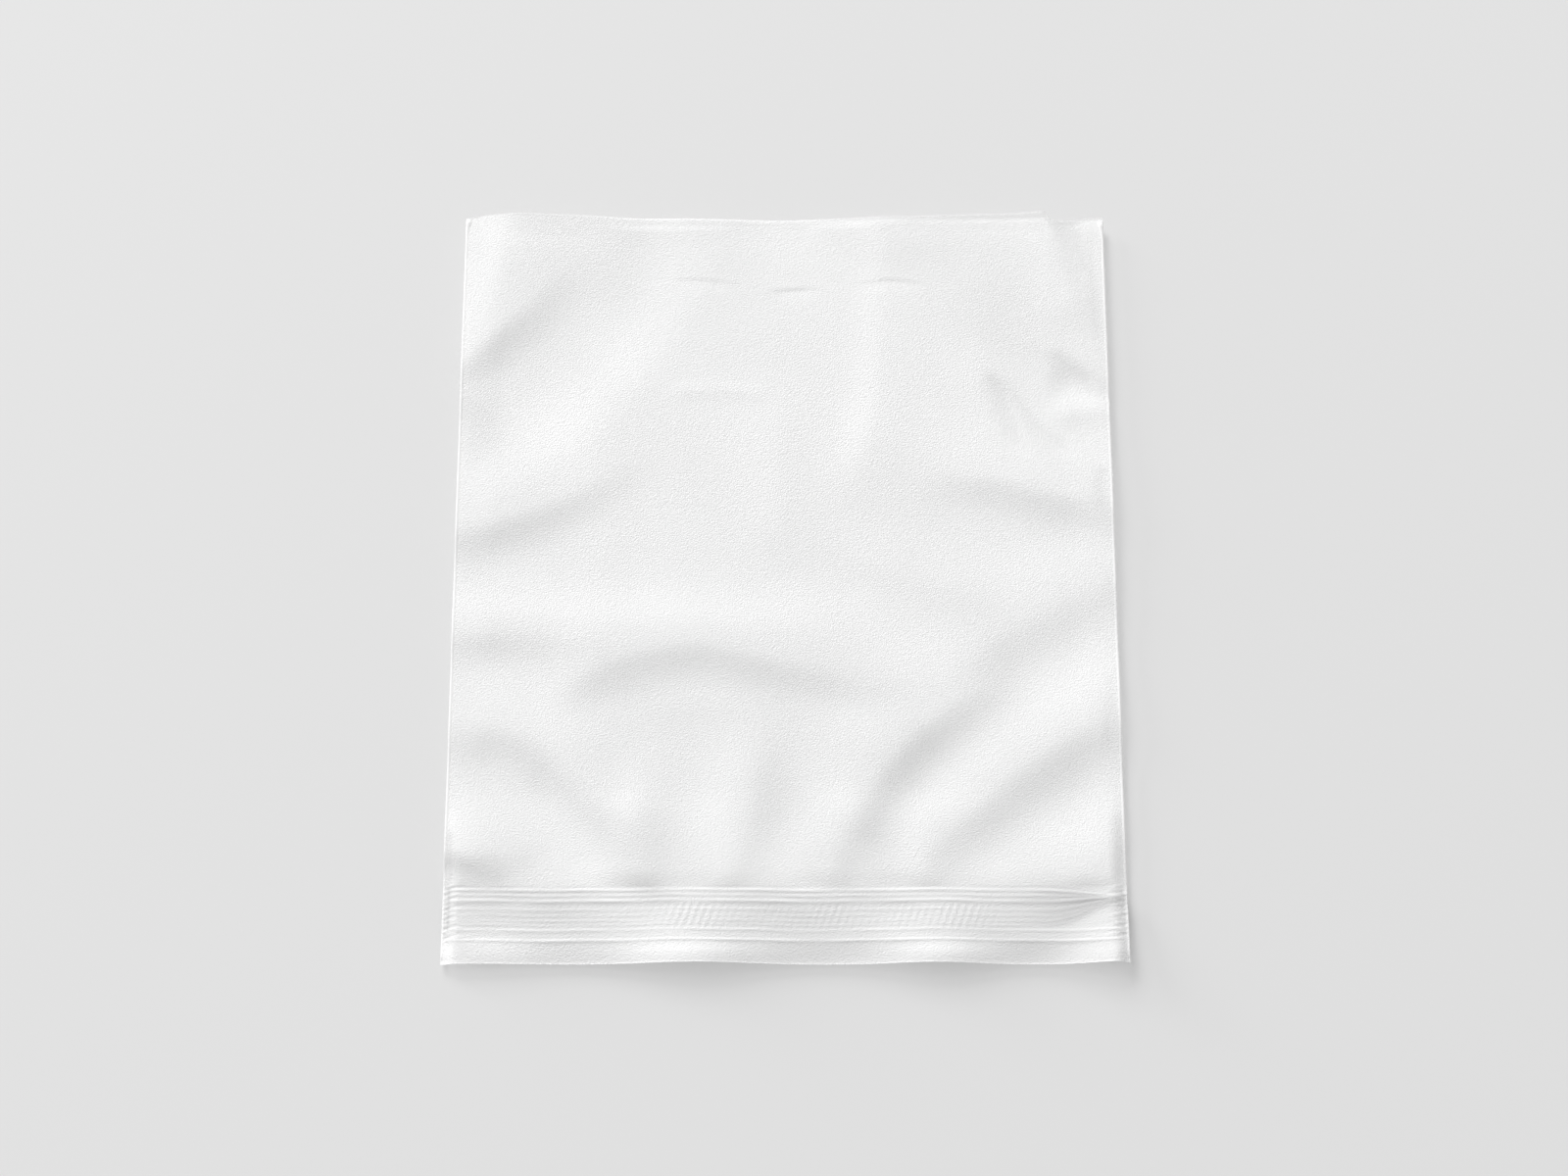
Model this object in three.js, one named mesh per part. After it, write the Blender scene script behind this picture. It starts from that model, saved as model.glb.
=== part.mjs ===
import * as THREE from 'three';

// A press-to-close film bag, lying flat and empty with its zip closed.
// Sizes are in millimetres: x runs across the bag, y from the mouth to the bottom fold, z up.

// Film web
const bagWidth = 200;
const bagLength = 240;
const filmThickness = 0.12;
const weldWidth = 1.6;
const bottomFoldDepth = 1.5;
const slackGap = 0.05;

// Mouth and closed zip
const lipLength = 6.4;
const lipGap = 0.4;
const lipSpread = 0.6;
const zipWidth = 15.8;
const crushLength = 3.4;
const flangeThickness = 0.2;
const flangeSeat = 0.05;
const trackDepth = 1.5;
const trackInset = 2.5;
const trackClearance = 0.08;

// Section of the two halves of the track
const jawSpread = 0.95;
const jawThickness = 0.45;
const jawLength = 1.2;
const barbReach = 0.25;
const barbHeight = 0.3;
const stemThickness = 0.6;
const arrowHeadWidth = 1.6;

// Grip ribs beside the track, and the bead along the flange's outer edge
const gripRibCount = 5;
const gripRibPitch = 1.55;
const gripRibHeight = 0.25;
const gripRibInset = 6;
const beadWidth = 1.1;
const beadHeight = 0.4;
const beadInset = 0.4;

// How the slack film lies: its height towards the zip and the bottom fold, and at the welds
const slackHeightNear = 3;
const slackHeightFar = 1.6;
const edgeHeight = 1.2;
const edgeReach = 34;
const edgeRoll = 14;
const edgeFoldShare = 0.45;
const edgeFoldReach = 15;
const mouthSettle = 32;
const gatherLength = 20;
const backSettle = 4;
const zipLiftShare = 0.5;

// Crests of the mouth: place as a share of the half width, rise and reach as shares of these
const crestRise = 2;
const crestReach = 20;
const mouthCrests = [
  { at: -0.92, rise: 0.4, reach: 0.85 },
  { at: -0.26, rise: 1.2, reach: 1 },
  { at: 0.44, rise: 1.15, reach: 0.85 },
  { at: 1, rise: 1.5, reach: 0.65 },
];

// Air towards the bottom fold: place as a share of the half width, rise as a share of pocketRise.
// It starts at a share of the half length, and is lower beyond a ridge on the right.
const pocketRise = 2;
const pocketStart = -0.5;
const pocketRidgeInset = 18;
const pocketRidgeLean = 0.2;
const pocketRidgeWidth = 12;
const pocketRidgeDrop = 0.6;
const pocketHeights = [
  { at: -1, rise: 0.45 },
  { at: -0.92, rise: 0.75 },
  { at: -0.84, rise: 1.05 },
  { at: -0.6, rise: 0.95 },
  { at: -0.4, rise: 0.6 },
  { at: 0, rise: 0.7 },
  { at: 0.4, rise: 0.9 },
  { at: 0.8, rise: 1.8 },
  { at: 1, rise: 1.8 },
];

// Folds in the front panel. Each line is in shares of the half width and the half length,
// with the fold's rise as a share of foldRise, and its reach to the left and the right of the line
// as it runs as shares of foldReach. Start and end are the shares of the line over which it dies away.
const foldRise = 2;
const foldReach = 20;
const folds = [
  // Upper left corner
  {
    line: [[-1.3, 0.34], [-0.94, 0.62], [-0.84, 0.8], [-0.79, 1.03]],
    rise: 0.75, left: 0.9, right: 1, start: 0, end: 0.3,
  },
  {
    line: [[-1.3, 0.34], [-0.94, 0.62], [-0.8, 0.73]],
    rise: 0.65, left: 0.7, right: 0.45, start: 0, end: 0.5,
  },
  // The step up onto the flat middle
  {
    line: [
      [-2.2, -0.13], [-1.4, -0.08], [-0.93, 0.14], [-0.61, 0.33],
      [-0.4, 0.52], [-0.24, 0.76], [0, 1.25], [0.4, 2],
    ],
    rise: 1, left: 1, right: 5, start: 0.62, end: 0,
  },
  // Left side, from top to bottom
  {
    line: [[-1.3, 0.09], [-0.97, 0.12], [-0.82, 0.16], [-0.62, 0.23], [-0.36, 0.38]],
    rise: 0.8, left: 1.4, right: 0.45, start: 0, end: 0.4,
  },
  {
    line: [[-1.3, -0.16], [-0.88, -0.16], [-0.6, -0.17], [-0.42, -0.17]],
    rise: 0.7, left: 1.5, right: 0.4, start: 0, end: 0.6,
  },
  {
    line: [
      [-1.3, -0.41], [-0.96, -0.4], [-0.82, -0.41], [-0.67, -0.47],
      [-0.56, -0.56], [-0.47, -0.67], [-0.42, -0.8], [-0.4, -1.08],
    ],
    rise: 1, left: 0.9, right: 0.475, start: 0.3, end: 0,
  },
  {
    line: [[-1.3, -0.69], [-0.95, -0.72], [-0.78, -0.78]],
    rise: 0.65, left: 0.8, right: 0.35, start: 0, end: 0.2,
  },
  // The long arch across the middle
  {
    line: [
      [-0.74, -0.31], [-0.6, -0.23], [-0.46, -0.18], [-0.25, -0.17],
      [-0.04, -0.21], [0.21, -0.26], [0.46, -0.3],
    ],
    rise: 0.75, left: 1.3, right: 0.475, start: 0.2, end: 0.4,
  },
  {
    line: [[-1.5, -0.11], [-0.6, -0.12], [-0.2, -0.13], [0.12, -0.17], [0.46, -0.23]],
    rise: 0.5, left: 0.65, right: 1.3, start: 0, end: 0.35,
  },
  // Gathers that run up from the zip
  {
    line: [[-0.19, -1.08], [-0.16, -0.67], [-0.12, -0.38]],
    rise: 0.7, left: 0.35, right: 0.5, start: 0, end: 0.35,
  },
  {
    line: [
      [0, -1.08], [0.1, -0.78], [0.17, -0.71], [0.23, -0.61],
      [0.3, -0.51], [0.41, -0.41], [0.6, -0.31],
    ],
    rise: 1.3, left: 1, right: 0.475, start: 0, end: 0.2,
  },
  {
    line: [
      [0.18, -1.08], [0.36, -0.77], [0.46, -0.69], [0.61, -0.57],
      [0.76, -0.47], [0.92, -0.4], [1.3, -0.27],
    ],
    rise: 1.25, left: 0.95, right: 0.5, start: 0, end: 0,
  },
  {
    line: [[0.5, -1.03], [0.78, -0.78], [1.3, -0.65]],
    rise: 0.55, left: 0.7, right: 0.45, start: 0, end: 0,
  },
  // Right side, from top to bottom
  {
    line: [[0.7, 0.65], [0.86, 0.61], [1.3, 0.45]],
    rise: 0.95, left: 0.7, right: 0.3, start: 0.35, end: 0,
  },
  {
    line: [[0.8, 0.5], [0.9, 0.49], [1.3, 0.44]],
    rise: -0.35, left: 0.35, right: 0.3, start: 0.25, end: 0,
  },
  {
    line: [[0.34, 0.27], [0.62, 0.27], [0.84, 0.22], [1.3, 0.14]],
    rise: 0.9, left: 0.9, right: 0.45, start: 0.3, end: 0,
  },
  {
    line: [[0.52, -0.22], [0.66, -0.14], [0.84, -0.07], [1.3, 0.11]],
    rise: 0.7, left: 0.8, right: 0.55, start: 0.3, end: 0,
  },
  // Far end
  {
    line: [[-0.72, 1.05], [-0.4, 1.03], [-0.04, 1.07]],
    rise: 0.7, left: 0.5, right: 1.05, start: 0.1, end: 0.1,
  },
  {
    line: [[0.34, 1.33], [0.31, 0.6], [0.27, 0.37], [0.2, 0.15]],
    rise: 0.3, left: 1.2, right: 0.45, start: 0, end: 0.2,
  },
];

// Fineness of the surfaces
const zipSteps = 19;
const columnsPerZipStep = 2;
const bodyRows = 30;
const bottomFoldSteps = 6;
const foldLineSteps = 40;

// Places that follow from the sizes
const halfWidth = bagWidth / 2;
const halfLength = bagLength / 2;
const weldLine = halfWidth - weldWidth;
const zipHalf = weldLine - crushLength;
const mouthY = -halfLength;
const zipLowY = mouthY + lipLength;
const zipTopY = zipLowY + zipWidth;
const foldStartY = halfLength - bottomFoldDepth;
const zipGap = trackDepth + 2 * (flangeThickness + flangeSeat);

function smooth(from, to, value) {
  const t = THREE.MathUtils.clamp((value - from) / (to - from), 0, 1);
  return t * t * (3 - 2 * t);
}

// Fold lines as smooth curves, laid out at the bag's size
const foldCurves = folds.map((fold) => {
  const points = fold.line.map(([u, v]) => new THREE.Vector3(u * halfWidth, v * halfLength, 0));
  return new THREE.CatmullRomCurve3(points).getSpacedPoints(foldLineSteps);
});

// Height of one fold over the point (x, y): a rounded ridge that follows the line
function foldHeight(fold, curve, x, y) {
  let nearest = Infinity;
  let side = 1;
  let along = 0;
  for (let i = 0; i < foldLineSteps; i += 1) {
    const from = curve[i];
    const runX = curve[i + 1].x - from.x;
    const runY = curve[i + 1].y - from.y;
    const offX = x - from.x;
    const offY = y - from.y;
    const share = THREE.MathUtils.clamp((offX * runX + offY * runY) / (runX * runX + runY * runY), 0, 1);
    const distance = Math.hypot(offX - share * runX, offY - share * runY);
    if (distance < nearest) {
      nearest = distance;
      side = runX * offY - runY * offX;
      along = (i + share) / foldLineSteps;
    }
  }
  const reach = foldReach * (side > 0 ? fold.left : fold.right);
  const start = fold.start > 0 ? smooth(0, fold.start, along) : 1;
  const end = fold.end > 0 ? smooth(0, fold.end, 1 - along) : 1;
  return foldRise * fold.rise * start * end * Math.exp(-1.4 * (nearest / reach) ** 2);
}

// The wave of the mouth
function mouthWave(x) {
  return mouthCrests.reduce((sum, crest) => {
    const away = (x - crest.at * halfWidth) / (crest.reach * crestReach);
    return sum + crestRise * crest.rise * Math.exp(-(away ** 2));
  }, 0);
}

// The same wave as straight runs between the zip's steps
function zipWave(x) {
  if (Math.abs(x) >= zipHalf) {
    return mouthWave(x);
  }
  const step = (2 * zipHalf) / zipSteps;
  const place = (x + zipHalf) / step;
  const before = Math.min(Math.floor(place + 1e-6), zipSteps - 1);
  const from = mouthWave(before * step - zipHalf);
  const to = mouthWave((before + 1) * step - zipHalf);
  return THREE.MathUtils.lerp(from, to, place - before);
}

// The wave is highest along the lip
function mouthLift(x, y) {
  return zipWave(x) * THREE.MathUtils.lerp(1, zipLiftShare, smooth(mouthY, zipLowY, y));
}

// How far the body of the bag is from the mouth's own shape: 0 at the zip, 1 in the body
function bodyShare(y) {
  return smooth(zipTopY, zipTopY + mouthSettle, y);
}

// The air towards the bottom fold, with a ridge along its right side
function pocket(x, y) {
  const rise = THREE.MathUtils.clamp((y / halfLength - pocketStart) / (1 - pocketStart), 0, 1);
  const ridgeX = halfWidth - pocketRidgeInset + pocketRidgeLean * (halfLength - y);
  const beyond = smooth(0, pocketRidgeWidth, x - ridgeX);
  let share = pocketHeights[0].rise;
  for (let i = 0; i + 1 < pocketHeights.length; i += 1) {
    const from = pocketHeights[i];
    const to = pocketHeights[i + 1];
    share += (to.rise - from.rise) * smooth(from.at, to.at, x / halfWidth);
  }
  return pocketRise * share * rise * (1 - pocketRidgeDrop * beyond);
}

// Height of the front panel's upper side
function frontHeight(x, y) {
  const fromWeld = Math.max(weldLine - Math.abs(x), 0);
  const crushed = Math.min(fromWeld / crushLength, 1);
  const openLip = lipGap + lipSpread * zipWave(x);
  const lip = THREE.MathUtils.lerp(openLip, zipGap, smooth(mouthY, zipLowY, y));
  const mouth = mouthLift(x, y) + 2 * filmThickness + crushed * lip;
  const towardsZip = smooth(-0.17, 0.33, -y / halfLength);
  const slackHeight = THREE.MathUtils.lerp(slackHeightFar, slackHeightNear, towardsZip);
  const slack = THREE.MathUtils.lerp(edgeHeight, slackHeight, smooth(0, edgeReach, fromWeld));
  const inside = THREE.MathUtils.lerp(edgeFoldShare, 1, smooth(0, edgeFoldReach, fromWeld));
  const gathered = smooth(zipTopY, zipTopY + gatherLength, y);
  const folded = folds.reduce((sum, fold, i) => sum + foldHeight(fold, foldCurves[i], x, y), 0);
  return THREE.MathUtils.lerp(mouth, slack + pocket(x, y), bodyShare(y)) + folded * gathered * inside;
}

// Height of the underside of a side weld, which the folds lift off the floor here and there
function weldHeight(side, y) {
  return Math.max(frontHeight(side * weldLine, y) - 2 * filmThickness - slackGap, 0);
}

// Height of the back panel's underside, which lies on the floor beyond the mouth
function backHeight(x, y) {
  const fromWeld = Math.max(weldLine - Math.abs(x), 0);
  const rolled = (1 - smooth(0, edgeRoll, fromWeld)) * smooth(zipTopY, zipTopY + backSettle, y);
  const lying = mouthLift(x, y) * (1 - bodyShare(y));
  return rolled > 0 ? THREE.MathUtils.lerp(lying, weldHeight(Math.sign(x), y), rolled) : lying;
}

// Room between the two panels
function panelGap(x, y) {
  return Math.max(frontHeight(x, y) - backHeight(x, y) - 2 * filmThickness, slackGap);
}

// Columns across the bag: the welds, the crushed ends and the zip's own steps
function columnPlaces() {
  const count = zipSteps * columnsPerZipStep;
  const inner = Array.from({ length: count + 1 }, (_, i) => zipHalf * ((2 * i) / count - 1));
  return [-halfWidth, -weldLine, ...inner, weldLine, halfWidth];
}

// Rows along the bag: the lip, the zip and the body up to the bottom fold
function rowPlaces() {
  const body = Array.from(
    { length: bodyRows },
    (_, i) => THREE.MathUtils.lerp(zipTopY, foldStartY, ((i + 1) / bodyRows) ** 1.1),
  );
  return [mouthY, zipLowY, zipTopY, ...body];
}

// One column of the film's skin, from the front lip round the bottom fold to the back lip.
// The inset moves it inwards from the outside of the film.
function skinColumn(x, gap, inset, rows) {
  const top = (y) => backHeight(x, y) + 2 * filmThickness + gap(y) - inset;
  const bottom = (y) => backHeight(x, y) + inset;
  const front = rows.map((y) => new THREE.Vector3(x, y, top(y)));
  const back = rows.map((y) => new THREE.Vector3(x, y, bottom(y)));
  const high = top(foldStartY);
  const low = bottom(foldStartY);
  const depth = bottomFoldDepth - inset;
  const bend = Array.from({ length: bottomFoldSteps - 1 }, (_, i) => {
    const angle = Math.PI * (0.5 - (i + 1) / bottomFoldSteps);
    const y = foldStartY + depth * Math.cos(angle);
    return new THREE.Vector3(x, y, (high + low) / 2 + ((high - low) / 2) * Math.sin(angle));
  });
  return [...front, ...bend, ...back.reverse()];
}

// The film: an outer skin and an inner skin, joined round the mouth and closed at the side welds
function filmGeometry() {
  const columns = columnPlaces();
  const rows = rowPlaces();
  const outer = columns.map((x) => {
    const welded = Math.abs(x) > weldLine;
    return skinColumn(x, (y) => (welded ? 0 : panelGap(x, y)), 0, rows);
  });
  const innerColumns = columns.slice(1, -1);
  const inner = innerColumns.map((x) => skinColumn(x, (y) => panelGap(x, y), filmThickness, rows));

  const places = [];
  const faces = [];
  const addPlace = (point) => places.push(point.x, point.y, point.z) / 3 - 1;
  const number = (grid) => grid.map((column) => column.map(addPlace));
  const outerIds = number(outer);
  const innerIds = number(inner);
  const last = outerIds[0].length - 1;
  const quad = (a, b, c, d) => faces.push(a, b, c, a, c, d);

  for (let i = 0; i + 1 < outerIds.length; i += 1) {
    for (let j = 0; j < last; j += 1) {
      quad(outerIds[i][j], outerIds[i + 1][j], outerIds[i + 1][j + 1], outerIds[i][j + 1]);
    }
  }
  for (let i = 0; i + 1 < innerIds.length; i += 1) {
    for (let j = 0; j < last; j += 1) {
      quad(innerIds[i][j], innerIds[i][j + 1], innerIds[i + 1][j + 1], innerIds[i + 1][j]);
    }
    const [here, next] = [outerIds[i + 1], outerIds[i + 2]];
    quad(innerIds[i][0], innerIds[i + 1][0], next[0], here[0]);
    quad(here[last], next[last], innerIds[i + 1][last], innerIds[i][last]);
  }

  // The mouth's edge across the two side welds
  const fan = (ids) => {
    for (let i = 1; i + 1 < ids.length; i += 1) {
      faces.push(ids[0], ids[i], ids[i + 1]);
    }
  };
  const [leftEdge, leftWeld] = outerIds;
  const [rightWeld, rightEdge] = outerIds.slice(-2);
  const leftInner = innerIds[0];
  const rightInner = innerIds[innerIds.length - 1];
  fan([leftEdge[0], leftEdge[last], leftWeld[last], leftInner[last], leftInner[0], leftWeld[0]]);
  fan([rightEdge[0], rightWeld[0], rightInner[0], rightInner[last], rightWeld[last], rightEdge[last]]);

  // Ends of the skins, as a ladder of triangles between their front and back runs
  const close = (ids, facing) => {
    const yOf = (id) => places[3 * id + 1];
    const tip = ids.findIndex((id) => yOf(id) === Math.max(...ids.map(yOf)));
    const front = ids.slice(0, tip + 1);
    const back = ids.slice(tip).reverse();
    let f = 0;
    let b = 0;
    const rung = (next) => {
      const ends = facing > 0 ? [front[f], back[b]] : [back[b], front[f]];
      faces.push(...ends, next);
    };
    while (f + 1 < front.length || b + 1 < back.length) {
      const nextFront = f + 1 < front.length ? yOf(front[f + 1]) : Infinity;
      const nextBack = b + 1 < back.length ? yOf(back[b + 1]) : Infinity;
      const stepFront = nextFront <= nextBack;
      const next = stepFront ? front[f + 1] : back[b + 1];
      if (next !== front[f] && next !== back[b]) {
        rung(next);
      }
      f += stepFront ? 1 : 0;
      b += stepFront ? 0 : 1;
    }
  };
  close(leftEdge, -1);
  close(rightEdge, 1);
  close(leftInner, 1);
  close(rightInner, -1);

  const geometry = new THREE.BufferGeometry();
  geometry.setAttribute('position', new THREE.Float32BufferAttribute(places, 3));
  geometry.setIndex(faces);
  geometry.computeVertexNormals();
  return geometry;
}

// Section of a zip half: across is measured from the flange's outer edge towards the bag's inside,
// up from the side that is welded to the film.
function flangeSection(trackPoints) {
  const beadMiddle = beadInset + beadWidth / 2;
  const points = [
    [0, 0],
    [0, flangeThickness],
    [beadMiddle - beadWidth / 2, flangeThickness],
    [beadMiddle - beadWidth / 4, flangeThickness + beadHeight],
    [beadMiddle + beadWidth / 4, flangeThickness + beadHeight],
    [beadMiddle + beadWidth / 2, flangeThickness],
  ];
  const firstRib = zipWidth - gripRibInset - gripRibCount * gripRibPitch;
  for (let i = 0; i < gripRibCount; i += 1) {
    const ribStart = firstRib + i * gripRibPitch;
    points.push([ribStart, flangeThickness]);
    points.push([ribStart + gripRibPitch / 2, flangeThickness + gripRibHeight]);
  }
  points.push([firstRib + gripRibCount * gripRibPitch, flangeThickness]);
  points.push(...trackPoints);
  points.push([zipWidth, flangeThickness], [zipWidth, 0]);
  return new THREE.Shape(points.map(([across, up]) => new THREE.Vector2(across, up)));
}

// Two jaws with barbs that face each other
function jawPoints() {
  const middle = zipWidth - trackInset;
  const tip = flangeThickness + jawLength;
  const barb = tip - barbHeight;
  const outside = jawSpread + jawThickness;
  const mouth = jawSpread - barbReach;
  const jaw = (side) => [
    [middle + side * outside, flangeThickness],
    [middle + side * outside, tip - barbHeight / 2],
    [middle + side * (mouth + jawThickness / 2), tip],
    [middle + side * mouth, tip - barbHeight / 3],
    [middle + side * mouth, barb],
    [middle + side * jawSpread, barb],
    [middle + side * jawSpread, flangeThickness],
  ];
  return [...jaw(-1), ...jaw(1).reverse()];
}

// A stem with an arrow head that sits behind the barbs
function arrowPoints() {
  const middle = zipWidth - trackInset;
  const stem = stemThickness / 2;
  const head = arrowHeadWidth / 2;
  const barbTop = flangeThickness + trackDepth - jawLength + barbHeight;
  const under = barbTop + trackClearance;
  const tip = flangeThickness + trackDepth - trackClearance;
  return [
    [middle - stem, flangeThickness],
    [middle - stem, under],
    [middle - head, under],
    [middle - stem, tip],
    [middle + stem, tip],
    [middle + head, under],
    [middle + stem, under],
    [middle + stem, flangeThickness],
  ];
}

// A zip half: its section run across the bag and bent to the wave of the mouth.
// Up is 1 for the half on the back panel and -1 for the half on the front panel.
function zipGeometry(section, weldedSide, up) {
  const run = { depth: 2 * zipHalf, steps: zipSteps, bevelEnabled: false };
  const geometry = new THREE.ExtrudeGeometry(section, run);
  const place = geometry.getAttribute('position');
  for (let i = 0; i < place.count; i += 1) {
    const x = up * (place.getZ(i) - zipHalf);
    const y = zipLowY + place.getX(i);
    const z = mouthLift(x, zipLowY) + weldedSide + up * place.getY(i);
    place.setXYZ(i, x, y, z);
  }
  geometry.computeVertexNormals();
  return geometry;
}

function filmMaterial(color, roughness, opacity) {
  return new THREE.MeshStandardMaterial({ color, roughness, metalness: 0, transparent: true, opacity });
}

function namedMesh(name, geometry, material) {
  const mesh = new THREE.Mesh(geometry, material);
  mesh.name = name;
  return mesh;
}

const milkyFilm = filmMaterial(0xf1f2f2, 0.42, 0.55);
const zipPlastic = filmMaterial(0xe9ebeb, 0.35, 0.6);
const backSeat = filmThickness + flangeSeat;
const frontSeat = filmThickness + zipGap - flangeSeat;

const bag = new THREE.Group();
bag.add(namedMesh('bag_film', filmGeometry(), milkyFilm));
bag.add(namedMesh('zip_hook_strip', zipGeometry(flangeSection(jawPoints()), frontSeat, -1), zipPlastic));
bag.add(namedMesh('zip_rib_strip', zipGeometry(flangeSection(arrowPoints()), backSeat, 1), zipPlastic));

export default bag;
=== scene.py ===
import math

import bpy
import numpy as np
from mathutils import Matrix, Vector


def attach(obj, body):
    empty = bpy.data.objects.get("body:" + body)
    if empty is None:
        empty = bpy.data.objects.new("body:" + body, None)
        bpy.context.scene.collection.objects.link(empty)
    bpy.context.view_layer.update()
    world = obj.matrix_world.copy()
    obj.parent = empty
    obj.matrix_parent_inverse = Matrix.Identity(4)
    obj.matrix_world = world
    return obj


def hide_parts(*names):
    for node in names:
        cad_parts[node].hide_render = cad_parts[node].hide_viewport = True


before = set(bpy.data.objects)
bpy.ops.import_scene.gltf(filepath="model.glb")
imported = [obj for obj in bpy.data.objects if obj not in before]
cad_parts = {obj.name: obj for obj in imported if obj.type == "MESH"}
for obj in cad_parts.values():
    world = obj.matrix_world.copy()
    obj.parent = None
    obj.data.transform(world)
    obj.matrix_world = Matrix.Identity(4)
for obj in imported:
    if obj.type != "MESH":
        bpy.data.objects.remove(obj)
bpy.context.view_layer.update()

mm = 0.001
bpy.ops.object.select_all(action="DESELECT")


# stage: the photo's angle, a pale floor, two soft lights from the far left
stageSpec = {
    "elevation": 69.04,
    "distance": 1.0498,
    "lens": 79.65,
    "sensor": 36,
    "aim": (-0.0003, -0.0035, 0.0),
    "floorSize": 8,
    "floorColor": 0.735,
    "floorRough": 0.8,
    "floorDrop": 0.15 * mm,
    "keyFrom": (-0.33, 0.755, 0.56),
    "keyDistance": 11.0,
    "keySize": 5.5,
    "keyPower": 1066.0,
    "fillFrom": (-0.75, 0.62, 0.18),
    "fillDistance": 10.0,
    "fillSize": 3.0,
    "fillPower": 597.0,
    "skyLevel": 0.45,
}


def grey(level):
    return (level, level, level, 1)


def simpleMaterial(name):
    material = bpy.data.materials.new(name)
    material.use_nodes = True
    nodes = material.node_tree.nodes
    return material, nodes, material.node_tree.links, nodes["Principled BSDF"]


def placeStage(spec):
    tilt = math.radians(spec["elevation"])
    aim = Vector(spec["aim"])
    eye = aim + spec["distance"] * Vector((0, -math.cos(tilt), math.sin(tilt)))
    bpy.ops.object.camera_add(location=eye, rotation=(math.pi / 2 - tilt, 0, 0))
    camera = bpy.context.object
    camera.data.lens = spec["lens"]
    camera.data.sensor_width = spec["sensor"]
    bpy.context.scene.camera = camera

    bpy.ops.mesh.primitive_plane_add(size=spec["floorSize"], location=(0, 0, -spec["floorDrop"]))
    floor = bpy.context.object
    floor.name = "floor"
    material, _, _, shader = simpleMaterial("floorPaint")
    shader.inputs["Base Color"].default_value = grey(spec["floorColor"])
    shader.inputs["Roughness"].default_value = spec["floorRough"]
    floor.data.materials.append(material)

    for light in ("key", "fill"):
        toward = Vector(spec[light + "From"]).normalized()
        turn = toward.to_track_quat("Z", "Y").to_euler()
        place = toward * spec[light + "Distance"]
        bpy.ops.object.light_add(type="AREA", location=place, rotation=turn)
        lamp = bpy.context.object.data
        lamp.size = spec[light + "Size"]
        lamp.energy = spec[light + "Power"]

    world = bpy.data.worlds.new("studio")
    world.use_nodes = True
    sky = world.node_tree.nodes["Background"]
    sky.inputs["Color"].default_value = (1, 1, 1, 1)
    sky.inputs["Strength"].default_value = spec["skyLevel"]
    bpy.context.scene.world = world
    bpy.context.scene.view_settings.view_transform = "Standard"


placeStage(stageSpec)
print("stage set")


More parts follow.
